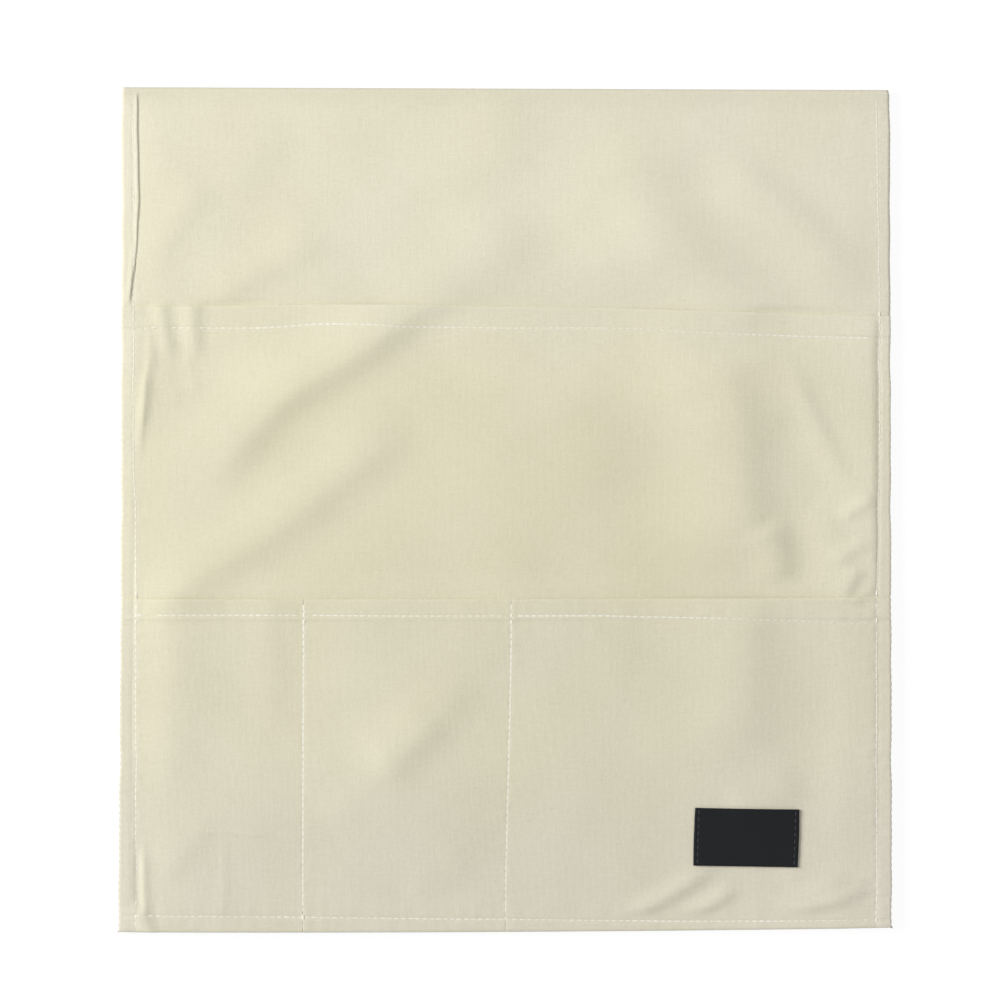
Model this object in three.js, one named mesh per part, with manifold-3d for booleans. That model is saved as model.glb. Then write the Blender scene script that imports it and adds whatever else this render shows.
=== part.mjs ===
// A sewn cloth organizer for a sofa armrest, folded in half as it lies on a table.
// One long cloth is folded at the top edge: the back leaf lies underneath, the front leaf on top.
// The front leaf carries a full-width pocket, and three smaller pockets in a row on its lower part.
// Millimetres. X runs across the cloth, Y from the open ends up to the fold, Z up from the table.
// The origin is on the table, under the middle of the folded cloth.
import * as THREE from 'three';
import { mergeVertices } from 'three/addons/utils/BufferGeometryUtils.js';
import Module from 'manifold-3d';

const wasm = await Module();
wasm.setup();

// Driving dimensions of the cloth and its rolled hems
const clothWidth = 350;
const leafLength = 382;
const clothThickness = 0.7;
const hemWidth = 6.9;
const hemLayers = 3;
const hemRound = 0.6;
const seamInset = 5.6;
const leafGap = 0.4;

// Driving dimensions of the pockets, measured down from the fold or across from the left seam
const largeMouthDrop = 99.6;
const lowerMouthDrop = 231.5;
const remotePocketWidth = 77;
const phonePocketWidth = 93;
const mouthHemDepth = 8.4;
const mouthHemLayers = 2;
const pocketLoft = 4.7;
const largePocketRise = 30;
const largePocketFootRise = 60;
const smallPocketRise = 24;
const smallPocketFootRise = 50;

// Driving dimensions of the woven label on the right-hand pocket
const labelWidth = 47;
const labelHeight = 25.5;
const labelThickness = 0.5;
const labelFromSide = 65.5;
const labelFromEnd = 43;
const labelTilt = THREE.MathUtils.degToRad(-1.5);
const labelSeamInset = 1.6;

// Sewing thread, and the clearance that neighbouring pieces keep
const threadWidth = 0.6;
const threadHeight = 0.4;
const seatGap = 0.3;

// Places worked out from the driving dimensions
const halfWidth = clothWidth / 2;
const endY = -leafLength / 2;
const foldY = leafLength / 2;
const hemThickness = hemLayers * clothThickness;
const frontFaceZ = 2 * hemThickness + leafGap;
const foldAxisZ = frontFaceZ / 2;
const foldAxisY = foldY - foldAxisZ;
const leafTopY = foldAxisY - seatGap;
const innerX = halfWidth - hemWidth - seatGap;
const innerEndY = endY + hemWidth + seatGap;
const largeMouthY = foldY - largeMouthDrop;
const lowerMouthY = foldY - lowerMouthDrop;
const leftSeamX = -halfWidth + seamInset;
const leftDividerX = leftSeamX + remotePocketWidth;
const rightDividerX = leftDividerX + phonePocketWidth;
const dividerHalfGap = threadWidth / 2 + seatGap;

const linen = new THREE.MeshStandardMaterial({ color: 0xded9be, roughness: 0.95, metalness: 0 });
const creamThread = new THREE.MeshStandardMaterial({ color: 0xf1efe4, roughness: 0.8, metalness: 0 });
const blackSatin = new THREE.MeshStandardMaterial({ color: 0x202124, roughness: 0.6, metalness: 0 });
const blackThread = new THREE.MeshStandardMaterial({ color: 0x17181a, roughness: 0.8, metalness: 0 });

// Booleans on closed meshes
function toSolid(geometry) {
  const bare = geometry.clone();
  bare.deleteAttribute('normal');
  bare.deleteAttribute('uv');
  const merged = mergeVertices(bare, 1e-4);
  return new wasm.Manifold(new wasm.Mesh({
    numProp: 3,
    vertProperties: new Float32Array(merged.attributes.position.array),
    triVerts: new Uint32Array(merged.index.array),
  }));
}

function toGeometry(solid) {
  const mesh = solid.getMesh();
  const geometry = new THREE.BufferGeometry();
  geometry.setAttribute('position', new THREE.BufferAttribute(mesh.vertProperties, 3));
  geometry.setIndex(new THREE.BufferAttribute(mesh.triVerts, 1));
  geometry.computeVertexNormals();
  return geometry;
}

function cut(geometry, ...tools) {
  return toGeometry(tools.reduce((left, tool) => left.subtract(toSolid(tool)), toSolid(geometry)));
}

// A shape drawn in Y and Z, extruded along X from one place to another, with optional rounded ends
function alongX(shape, fromX, toX, round = 0) {
  const geometry = new THREE.ExtrudeGeometry(shape, {
    depth: toX - fromX - 2 * round,
    bevelEnabled: round > 0,
    bevelThickness: round,
    bevelSize: round,
    bevelOffset: -round,
    bevelSegments: 3,
    curveSegments: 10,
  });
  geometry.translate(0, 0, fromX + round);
  const yAxis = new THREE.Vector3(0, 1, 0);
  const zAxis = new THREE.Vector3(0, 0, 1);
  const xAxis = new THREE.Vector3(1, 0, 0);
  return geometry.applyMatrix4(new THREE.Matrix4().makeBasis(yAxis, zAxis, xAxis));
}

function block(fromX, toX, fromY, toY, fromZ, toZ) {
  const geometry = new THREE.BoxGeometry(toX - fromX, toY - fromY, toZ - fromZ);
  return geometry.translate((fromX + toX) / 2, (fromY + toY) / 2, (fromZ + toZ) / 2);
}

// A strip with rounded long edges, drawn in Y and Z
function roundedStrip(fromY, toY, fromZ, toZ, round) {
  const shape = new THREE.Shape();
  shape.moveTo(fromY + round, fromZ);
  shape.lineTo(toY - round, fromZ);
  shape.absarc(toY - round, fromZ + round, round, -Math.PI / 2, 0);
  shape.absarc(toY - round, toZ - round, round, 0, Math.PI / 2);
  shape.absarc(fromY + round, toZ - round, round, Math.PI / 2, Math.PI);
  shape.absarc(fromY + round, fromZ + round, round, Math.PI, 1.5 * Math.PI);
  return shape;
}

// The height of a stack of cloth along Y, as steps; drop lowers it and shift moves its risers
function stepLine(stretches, drop, shift) {
  const points = [];
  stretches.forEach(({ from, to, z }, i) => {
    points.push(new THREE.Vector2(i === 0 ? from : from + shift, z - drop));
    points.push(new THREE.Vector2(i === stretches.length - 1 ? to : to + shift, z - drop));
  });
  return points;
}

function between(lowerLine, upperLine) {
  return new THREE.Shape([...lowerLine, ...upperLine.slice().reverse()]);
}

// A sheet of cloth over a grid of columns and rows, with its own lower and upper surface
function clothSheet(columns, rows, lowerAt, upperAt) {
  const geometry = new THREE.BoxGeometry(1, 1, 1, columns.length - 1, rows.length - 1, 1);
  const place = geometry.attributes.position;
  for (let i = 0; i < place.count; i++) {
    const x = columns[Math.round((place.getX(i) + 0.5) * (columns.length - 1))];
    const y = rows[Math.round((place.getY(i) + 0.5) * (rows.length - 1))];
    const z = place.getZ(i) > 0 ? upperAt(x, y) : lowerAt(x, y);
    place.setXYZ(i, x, y, z);
  }
  return geometry;
}

// How an empty pocket stands off what it is sewn to: nothing at its seams, full past the rise
const swell = (distance, rise) => THREE.MathUtils.smoothstep(distance, 0, rise);

// Grid lines from one seam to the other, closer together where the cloth rises from each seam
const riseShares = [0, 0.2, 0.4, 0.6, 0.8, 1];

function seamToSeam(from, to, rise) {
  const reach = Math.min(rise, (to - from) / 2 - clothThickness);
  return [
    ...riseShares.map((share) => from + share * reach),
    ...riseShares.map((share) => to - share * reach).reverse(),
  ];
}

function node(name, geometry, material) {
  const mesh = new THREE.Mesh(geometry, material);
  mesh.name = name;
  return mesh;
}

// Side hems, as steps of cloth: the rolled edge, and the pocket cloths that are caught in it
const sides = [['left', -1], ['right', 1]];

function sideHem(sign, stretches, bottomZ, channels) {
  const edges = [sign * halfWidth, sign * (halfWidth - hemWidth)];
  const floor = [stretches[0].from, stretches[stretches.length - 1].to].map((y) => new THREE.Vector2(y, bottomZ));
  const outline = between(floor, stepLine(stretches, 0, 0));
  return cut(alongX(outline, Math.min(...edges), Math.max(...edges), hemRound), ...channels);
}

function sideSeam(sign, shape, grow) {
  const seamX = sign * (halfWidth - seamInset);
  return alongX(shape, seamX - threadWidth / 2 - grow, seamX + threadWidth / 2 + grow);
}

// Back leaf: the half of the cloth that lies underneath, outer face down
function makeBackLeaf() {
  const leaf = new THREE.Group();
  leaf.add(node('back_leaf', block(-innerX, innerX, innerEndY, leafTopY, 0, clothThickness), linen));
  const stretches = [{ from: endY, to: leafTopY, z: hemThickness }];
  const outerThread = [{ from: endY + hemRound, to: leafTopY, z: threadHeight }];
  const innerThread = [{ from: endY + hemRound, to: leafTopY, z: hemThickness }];
  const under = between(stepLine(outerThread, 1 + threadHeight, 0), stepLine(outerThread, -seatGap, 0));
  const over = between(stepLine(innerThread, threadHeight + seatGap, 0), stepLine(innerThread, -1, 0));
  const threadOver = between(stepLine(innerThread, threadHeight, 0), stepLine(innerThread, 0, 0));
  const threadUnder = between(stepLine(outerThread, threadHeight, 0), stepLine(outerThread, 0, 0));
  for (const [side, sign] of sides) {
    const channels = [sideSeam(sign, under, seatGap), sideSeam(sign, over, seatGap)];
    leaf.add(node(`back_${side}_hem`, sideHem(sign, stretches, 0, channels), linen));
    leaf.add(node(`back_${side}_outer_thread`, sideSeam(sign, threadUnder, 0), creamThread));
    leaf.add(node(`back_${side}_inner_thread`, sideSeam(sign, threadOver, 0), creamThread));
  }
  addEndHem(leaf, 'back_end', 0, hemThickness, 'back_end_outer_thread', 'back_end_inner_thread', true);
  return leaf;
}

// The hem across a leaf's open end, with a thread let into each face
function addEndHem(leaf, name, bottomZ, topZ, outerName, innerName, outerIsUnder) {
  const seamY = endY + seamInset;
  const strip = alongX(roundedStrip(endY, endY + hemWidth, bottomZ, topZ, hemRound), -innerX, innerX);
  const seam = (grow, fromZ, toZ) =>
    block(-innerX - grow, innerX + grow, seamY - threadWidth / 2 - grow, seamY + threadWidth / 2 + grow, fromZ, toZ);
  const channels = [
    seam(seatGap, bottomZ - 1, bottomZ + threadHeight + seatGap),
    seam(seatGap, topZ - threadHeight - seatGap, topZ + 1),
  ];
  leaf.add(node(`${name}_hem`, cut(strip, ...channels), linen));
  leaf.add(node(outerIsUnder ? outerName : innerName, seam(0, bottomZ, bottomZ + threadHeight), creamThread));
  leaf.add(node(outerIsUnder ? innerName : outerName, seam(0, topZ - threadHeight, topZ), creamThread));
}

// The turn of the cloth over the fold, from the back leaf round to the front leaf
function makeFold() {
  const turn = new THREE.Shape();
  turn.absarc(0, 0, foldAxisZ, -Math.PI / 2, Math.PI / 2);
  turn.absarc(0, 0, foldAxisZ - clothThickness, Math.PI / 2, -Math.PI / 2, true);
  const fold = node('fold_turn', alongX(turn, -halfWidth, halfWidth), linen);
  fold.position.set(0, foldAxisY, foldAxisZ);
  return fold;
}

// Front leaf, drawn with its outer face at height 0; the pocket cloths lie on that face
const pocketLayerZ = (layers) => layers * clothThickness;

function makeFrontLeaf() {
  const leaf = new THREE.Group();
  leaf.position.z = frontFaceZ;
  leaf.add(node('front_leaf', block(-innerX, innerX, innerEndY, leafTopY, -clothThickness, 0), linen));
  const stretches = [
    { from: endY, to: lowerMouthY, z: pocketLayerZ(2) },
    { from: lowerMouthY, to: largeMouthY, z: pocketLayerZ(1) },
    { from: largeMouthY, to: leafTopY, z: pocketLayerZ(0) },
  ];
  const sewn = stretches.map((s, i) => (i === 0 ? { ...s, from: endY + hemRound } : s));
  const inner = [{ from: endY + hemRound, to: leafTopY, z: threadHeight - hemThickness }];
  const over = between(stepLine(sewn, threadHeight + seatGap, -seatGap), stepLine(sewn, -1, threadHeight + seatGap));
  const under = between(stepLine(inner, 1 + threadHeight, 0), stepLine(inner, -seatGap, 0));
  const threadOver = between(stepLine(sewn, threadHeight, 0), stepLine(sewn, 0, threadHeight));
  const threadUnder = between(stepLine(inner, threadHeight, 0), stepLine(inner, 0, 0));
  for (const [side, sign] of sides) {
    const channels = [sideSeam(sign, over, seatGap), sideSeam(sign, under, seatGap)];
    leaf.add(node(`${side}_hem`, sideHem(sign, stretches, -hemThickness, channels), linen));
    leaf.add(node(`${side}_edge_thread`, sideSeam(sign, threadOver, 0), creamThread));
    leaf.add(node(`${side}_edge_bobbin_thread`, sideSeam(sign, threadUnder, 0), creamThread));
  }
  addEndHem(leaf, 'bottom', -hemThickness, pocketLayerZ(2), 'bottom_edge_thread', 'bottom_edge_bobbin_thread', false);
  return leaf;
}

// Large pocket: its lower part backs the small pockets, and its upper part swings open at the mouth
const largeSwell = (x, y) =>
  swell(innerX - Math.abs(x), largePocketRise) * swell(y - innerEndY, largePocketFootRise);
const largeLower = (x, y) => seatGap + pocketLoft * largeSwell(x, y);
const largeUpper = (x, y) => largeLower(x, y) + clothThickness;

// The small pockets, from left to right, each between two seams
const smallPockets = [
  { name: 'remote_pocket', from: -innerX, to: leftDividerX - dividerHalfGap },
  { name: 'phone_pocket', from: leftDividerX + dividerHalfGap, to: rightDividerX - dividerHalfGap },
  { name: 'tablet_pocket', from: rightDividerX + dividerHalfGap, to: innerX },
];
const smallColumns = smallPockets.map(({ from, to }) => seamToSeam(from, to, smallPocketRise));

const sharedColumns = [
  ...seamToSeam(-innerX, innerX, largePocketRise),
  ...smallColumns.flat(),
].sort((a, b) => a - b).filter((x, i, all) => i === 0 || x - all[i - 1] > seatGap);

const bottomRows = [
  ...riseShares.map((share) => innerEndY + share * smallPocketFootRise),
  innerEndY + largePocketFootRise,
];

function hemRows(mouthY) {
  const foldedEdge = mouthY - mouthHemDepth - threadWidth;
  return [foldedEdge - clothThickness, foldedEdge, mouthY - mouthHemDepth, mouthY];
}

// The mouth hem is turned to the inside, so it thickens the cloth downwards, as far as the cloth below
function hemmed(lowerAt, floorAt, mouthY) {
  const folds = (mouthHemLayers - 1) * clothThickness;
  const foldedEdge = mouthY - mouthHemDepth - threadWidth;
  return (x, y) => (y < foldedEdge ? lowerAt(x, y) : Math.max(lowerAt(x, y) - folds, floorAt(x, y) + seatGap));
}

function mouthThread(name, columns, upperAt, mouthY) {
  const seamY = mouthY - mouthHemDepth + threadWidth;
  const rows = [seamY - threadWidth / 2, seamY + threadWidth / 2];
  const lowerAt = (x) => upperAt(x, seamY) + seatGap / 3;
  return node(name, clothSheet(columns, rows, lowerAt, (x) => lowerAt(x) + threadHeight), creamThread);
}

function makeLargePocket() {
  const pocket = new THREE.Group();
  pocket.position.z = frontFaceZ;
  const backingRows = [...bottomRows, lowerMouthY - seatGap];
  pocket.add(node('large_pocket_backing', clothSheet(sharedColumns, backingRows, largeLower, largeUpper), linen));
  const openRows = [lowerMouthY, ...hemRows(largeMouthY)];
  const openLower = hemmed(largeLower, () => 0, largeMouthY);
  pocket.add(node('large_pocket_front', clothSheet(sharedColumns, openRows, openLower, largeUpper), linen));
  pocket.add(mouthThread('large_pocket_mouth_thread', sharedColumns, largeUpper, largeMouthY));
  for (const [name, x] of [['left_divider_thread', leftDividerX], ['right_divider_thread', rightDividerX]]) {
    const columns = [x - threadWidth / 2, x + threadWidth / 2];
    const lowerAt = (_, y) => largeUpper(x, y) + seatGap / 3;
    const upperAt = (_, y) => largeUpper(x, y) + clothThickness + threadHeight;
    pocket.add(node(name, clothSheet(columns, backingRows, lowerAt, upperAt), creamThread));
  }
  return pocket;
}

// Small pockets: each one is sewn at its sides and bottom, and open at its mouth
function smallSurfaces({ from, to }) {
  const rise = Math.min(smallPocketRise, (to - from) / 2 - clothThickness);
  const lift = (x, y) => swell(Math.min(x - from, to - x), rise) * swell(y - innerEndY, smallPocketFootRise);
  const lowerAt = (x, y) => largeUpper(x, y) + seatGap + pocketLoft * lift(x, y);
  return { lowerAt, upperAt: (x, y) => lowerAt(x, y) + clothThickness };
}

function makeSmallPocket(pocket, columns) {
  const group = new THREE.Group();
  group.position.z = frontFaceZ;
  const { lowerAt, upperAt } = smallSurfaces(pocket);
  const rows = [...bottomRows, ...hemRows(lowerMouthY)];
  const front = clothSheet(columns, rows, hemmed(lowerAt, largeUpper, lowerMouthY), upperAt);
  group.add(node(`${pocket.name}_front`, front, linen));
  group.add(mouthThread(`${pocket.name}_mouth_thread`, columns, upperAt, lowerMouthY));
  return group;
}

// Woven label: it follows the cloth of the pocket that it is sewn to
const labelCentreX = halfWidth - labelFromSide;
const labelCentreY = endY + labelFromEnd;

function onLabel(across, along, upperAt) {
  const x = labelCentreX + across * Math.cos(labelTilt) - along * Math.sin(labelTilt);
  const y = labelCentreY + across * Math.sin(labelTilt) + along * Math.cos(labelTilt);
  return new THREE.Vector3(x, y, upperAt(x, y));
}

// A flat strip on the label's own axes, laid over the pocket at some height above it
function laidStrip(acrossLines, alongLines, upperAt, fromHeight, toHeight) {
  const geometry = clothSheet(acrossLines, alongLines, () => fromHeight, () => toHeight);
  const place = geometry.attributes.position;
  for (let i = 0; i < place.count; i++) {
    const spot = onLabel(place.getX(i), place.getY(i), upperAt);
    place.setXYZ(i, spot.x, spot.y, spot.z + place.getZ(i));
  }
  return geometry;
}

function spaced(from, to, steps) {
  return Array.from({ length: steps + 1 }, (_, i) => from + ((to - from) * i) / steps);
}

function makeLabel() {
  const label = new THREE.Group();
  label.position.z = frontFaceZ;
  const { upperAt } = smallSurfaces(smallPockets[2]);
  const across = spaced(-labelWidth / 2, labelWidth / 2, 8);
  const along = spaced(-labelHeight / 2, labelHeight / 2, 6);
  const topHeight = seatGap + labelThickness;
  label.add(node('woven_label', laidStrip(across, along, upperAt, seatGap, topHeight), blackSatin));
  for (const [side, sign] of sides) {
    const seam = sign * (labelWidth / 2 - labelSeamInset);
    const lines = [seam - threadWidth / 2, seam + threadWidth / 2];
    const bottom = topHeight + seatGap / 3;
    const thread = laidStrip(lines, along, upperAt, bottom, bottom + threadHeight);
    label.add(node(`label_${side}_thread`, thread, blackThread));
  }
  return label;
}

const organizer = new THREE.Group();
organizer.add(makeBackLeaf(), makeFold(), makeFrontLeaf(), makeLargePocket());
smallPockets.forEach((pocket, i) => organizer.add(makeSmallPocket(pocket, smallColumns[i])));
organizer.add(makeLabel());

export default organizer;
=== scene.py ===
# Sofa armrest organizer: a linen cloth folded in half, with one wide pocket and a row of three small ones.
import itertools
import math
import random

import bmesh
import bpy
import numpy as np
from mathutils import Matrix, Vector


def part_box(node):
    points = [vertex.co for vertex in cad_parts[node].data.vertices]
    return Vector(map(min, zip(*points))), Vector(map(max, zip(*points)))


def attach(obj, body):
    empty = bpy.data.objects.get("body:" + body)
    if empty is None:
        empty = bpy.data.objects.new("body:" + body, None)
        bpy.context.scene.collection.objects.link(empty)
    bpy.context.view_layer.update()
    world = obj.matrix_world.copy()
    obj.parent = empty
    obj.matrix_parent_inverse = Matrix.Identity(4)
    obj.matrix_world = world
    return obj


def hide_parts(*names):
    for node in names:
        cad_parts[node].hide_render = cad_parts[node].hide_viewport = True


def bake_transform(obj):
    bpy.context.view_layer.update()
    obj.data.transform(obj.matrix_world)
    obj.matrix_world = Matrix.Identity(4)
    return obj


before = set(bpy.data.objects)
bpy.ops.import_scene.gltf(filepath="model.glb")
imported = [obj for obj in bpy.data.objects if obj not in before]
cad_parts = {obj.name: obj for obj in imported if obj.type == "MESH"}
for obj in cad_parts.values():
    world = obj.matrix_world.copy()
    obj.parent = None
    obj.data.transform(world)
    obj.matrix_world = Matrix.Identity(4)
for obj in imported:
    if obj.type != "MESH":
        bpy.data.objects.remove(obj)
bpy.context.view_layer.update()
scene = bpy.context.scene
mm = 0.001  # shapes are worked out in millimetres and written in metres


def span(node):
    low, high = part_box(node)
    return [c / mm for c in low], [c / mm for c in high]


# Places that come from the solids, in millimetres
foldHigh = span("fold_turn")[1]
halfWidth = foldHigh[0]
foldTop = foldHigh[1]
outerZ = foldHigh[2]  # outer face of the front leaf
foldRadius = outerZ / 2
foldAxisY = foldTop - foldRadius
endY = span("bottom_hem")[0][1]  # open end of the folded cloth
largeMouthY = span("large_pocket_front")[1][1]
lowerMouthY = span("remote_pocket_front")[1][1]
leftDividerX = sum(corner[0] for corner in span("left_divider_thread")) / 2
rightDividerX = sum(corner[0] for corner in span("right_divider_thread")) / 2
labelLow, labelHigh = span("woven_label")
labelShift = (-0.5, -0.9)  # it was sewn on a little off its place
labelCentre = [(low + high) / 2 + by for low, high, by in zip(labelLow, labelHigh, labelShift)]

cloth = {
    "thick": 0.42,  # one layer
    "layer": 0.5,  # one layer and the air over it
    "hemWidth": 6.9,
    "hemStack": 1.9,  # three layers, outer face to inner face
    "sideSeam": 5.6,  # stitch line to the side edge
    "endSeam": 5.8,  # stitch line to the open end
    "backLift": 0.3,  # keeps the back leaf's stitches off the table
    "backInset": 0.8,  # the back leaf stays just inside the front one
    "pitch": 3.175,  # eight stitches to the inch
}

# The cloth wasn't laid quite square: how far each corner lies from the true rectangle
skew = {"topLeft": (0.2, 0.9), "topRight": (-0.6, -0.4), "endLeft": (-1.2, -1.1), "endRight": (0.2, 0.9)}


def rise(a, b, v):
    t = np.clip((np.asarray(v, float) - a) / (b - a), 0, 1)
    return t * t * (3 - 2 * t)


def waves(along, seed, lengths):  # a fixed run of uneven ripples along a seam
    draw = random.Random(seed)
    total = np.zeros_like(np.asarray(along, float))
    for length in lengths:
        total += np.sin(2 * math.pi * along / length + draw.uniform(0, 6.28)) * draw.uniform(0.6, 1.0)
    return total / len(lengths)


def swells(x, y, seed, lengths):  # broad uneven swelling of cloth that lies loose
    draw = random.Random(seed)
    total = np.zeros_like(np.asarray(x, float))
    for length in lengths:
        turn = draw.uniform(0, math.pi)
        run = x * math.cos(turn) + y * math.sin(turn)
        total += np.sin(2 * math.pi * run / length + draw.uniform(0, 6.28))
    return total / len(lengths)


# The wide pocket's hem runs a little crooked: how far, and how far below and above the mouth that is felt
mouthDrift = {"at": [-169, -80, 40, 169], "by": [0.0, 1.4, 0.0, -3.6], "below": (-60, -12), "above": (4, 50)}
# The right divider leans a little and the left one lies to the right
dividerDrift = {"top": 2.3, "bottom": -0.2, "left": 1.1, "reach": 40, "above": 30}
bow = {"end": 0.8, "left": 0.75}  # the open end sags, the left edge draws in
waver = {"by": 0.3, "seed": 5, "lengths": (61, 37, 23)}  # of the side edges
# Each stitch nicks the side edges: how deep, how much deeper lower down, and from where to where
nicks = {"left": (0.1, 0.12, 60, 20), "right": (0.06, 0.06, 0, -40), "in": (2.2, 0.4)}


def settle(x, y):  # where a point of the squarely drawn cloth really lies
    a = (x + halfWidth) / (2 * halfWidth)
    b = (y - endY) / (foldTop - endY)
    shift = []
    for k in (0, 1):
        end = (1 - a) * skew["endLeft"][k] + a * skew["endRight"][k]
        top = (1 - a) * skew["topLeft"][k] + a * skew["topRight"][k]
        shift.append((1 - b) * end + b * top)
    dx, dy = shift
    above = y - largeMouthY
    nearMouth = rise(*mouthDrift["below"], above) * (1 - rise(*mouthDrift["above"], above))
    dy = dy + np.interp(x, mouthDrift["at"], mouthDrift["by"]) * nearMouth
    lean = dividerDrift["top"] - dividerDrift["bottom"]
    lean = dividerDrift["bottom"] + lean * rise(endY, lowerMouthY, y)
    low = 1 - rise(0, dividerDrift["above"], y - lowerMouthY)
    for dividerX, by in ((rightDividerX, lean), (leftDividerX, dividerDrift["left"])):
        dx = dx + by * np.clip(1 - np.abs(x - dividerX) / dividerDrift["reach"], 0, 1) * low
    dx = dx + bow["left"] * 4 * b * (1 - b) * np.clip(1 - a, 0, 1) ** 3
    dy = dy - bow["end"] * 4 * a * (1 - a) * np.clip(1 - b, 0, 1) ** 3
    edge = waver["by"] * waves(y, waver["seed"], waver["lengths"]) * (x / halfWidth) ** 3
    left, right = [nick[0] + nick[1] * rise(*nick[2:], y) for nick in (nicks["left"], nicks["right"])]
    beads = np.where(x < 0, left, right) * np.cos(2 * math.pi * (y - endY) / cloth["pitch"])
    beads = beads * rise(*nicks["in"], halfWidth - np.abs(x)) * np.sign(x)
    return x + dx + edge + beads, y + dy


# The rows of stitches don't run quite true: how far each strays, towards the open end or to the right
strays = {
    "left": ([-170, -105, -10, 20], [2.5, 1.8, 1.4, 0]),
    "right": ([-170, -70, -40, 0, 30, 120, 165], [-1.3, -1.2, -0.9, 0.2, 0.6, 0.6, -0.3]),
    "large": ([-157, -139, -110, -85, -66, -48, 0, 60, 80, 115, 135, 169],
              [1.4, 1.8, 2.3, 0.9, 0.9, 1.8, 1.8, 0.9, 1.8, 2.2, 2.2, 2.0]),
    "lower": ([-169, -100, -40, 43, 61, 97, 134, 152, 169], [-0.9, -0.9, -0.5, -0.5, 0, 0.9, 2.3, 3.6, 3.4]),
    "end": ([-169, -103, 6, 80, 135, 169], [-1.7, -1.3, 0.25, 1.6, 2.1, 2.1]),
}


def stray(row, along):
    return np.interp(along, *strays[row])


# Folds in the cloth: the crest's path, its height, and how far it runs out on its lit and its shaded side
frontFolds = [
    ([(18, 137), (-5, 117), (-33, 96), (-62, 75)], 1.0, 20, 15),
    ([(86, 162), (103, 152.5), (115.9, 144), (130, 132.7), (146.8, 115.9), (162.3, 95)], 1.25, 16, 9.5),
    ([(44, 142), (60, 129), (80.7, 117), (99.5, 103), (119, 90), (137, 72)], 1.5, 18, 16),
    ([(56, 178), (59, 140), (66, 92)], 1.5, 34, 30),
    ([(-134, 152), (-152, 127), (-164, 106)], 0.5, 10, 7),
    ([(-78, 125), (-112, 107), (-142, 92)], 0.8, 12, 8),
    ([(-98, 178), (-119, 152), (-130, 137)], 0.3, 11, 9),
    ([(20, 172), (-28, 150), (-70, 134)], 0.6, 18, 13),
]
largeFolds = [
    ([(0, 120), (-14, 109), (-33, 96), (-51.7, 81.8), (-73.9, 66.4), (-100.3, 51.4),
      (-116.2, 35.5), (-130, 18), (-140, 3)], 1.75, 20, 9.5),
    ([(-38, 91), (-56, 79), (-75, 66), (-99, 52), (-116, 36)], 0.8, 17, 9.5),
    ([(-40, 41), (-75.4, 14.6), (-100.4, -4.5), (-127.7, -22.5), (-152, -38), (-172, -52)], 1.5, 15, 10),
    ([(-163, 90), (-161.5, 71), (-163.5, 56), (-165.3, 40), (-166.6, 20)], 0.45, 2.4, 1.6),
    ([(-155.5, 86), (-153, 62), (-149, 38)], 0.3, 5, 5.5),
    ([(-157, 102), (-155.5, 86), (-151.5, 66)], 0.8, 4.5, 2.4),
    ([(-142.5, 104), (-142, 84), (-141, 64)], 0.85, 6.0, 3.2),
    ([(-147, 72), (-144, 58), (-141, 48)], 0.25, 1.4, 4.0),
    ([(-163.6, 62), (-163.4, 50), (-165, 36)], 0.25, 3.0, 1.2),
    ([(90, 76), (96, 60), (102, 46), (105, 34), (105.5, 20), (107, 6), (110, -10),
      (114, -36)], 2.2, 27, 14.5),
    ([(70, 118), (80, 92), (88, 68), (96, 42)], 1.1, 24, 24),
    ([(74, 121), (96, 106), (109, 92), (113, 72)], 1.0, 15, 13),
    ([(126, 74), (132, 60), (142, 37), (151, 19), (159, 5)], 0.6, 8, 4.2),
    ([(108, 82), (117, 62), (121, 42), (121, 28)], 0.55, 24, 10),
    ([(165.4, 108), (165.6, 60), (165.6, 10), (165.6, -50)], 0.55, 15, 3.0),
    ([(138, 4), (147, -16), (152, -46)], 0.55, 10, 8),
    ([(118, -4), (123, -17), (124, -36)], 1.15, 10, 7),
    ([(168, 6), (161, 0.5), (151, -5)], 0.5, 4.2, 2.8),
    ([(166, -15), (157, -19.5), (148, -25)], 0.42, 4.4, 2.8),
    ([(162, -25), (157.5, -33), (152.5, -44)], 0.6, 5.0, 2.2),
    ([(168, -35), (162, -39.5), (155, -44)], 0.42, 2.8, 2.3),
    ([(20, 62), (34, 30), (41, -4)], 0.5, 24, 18),
]
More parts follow.
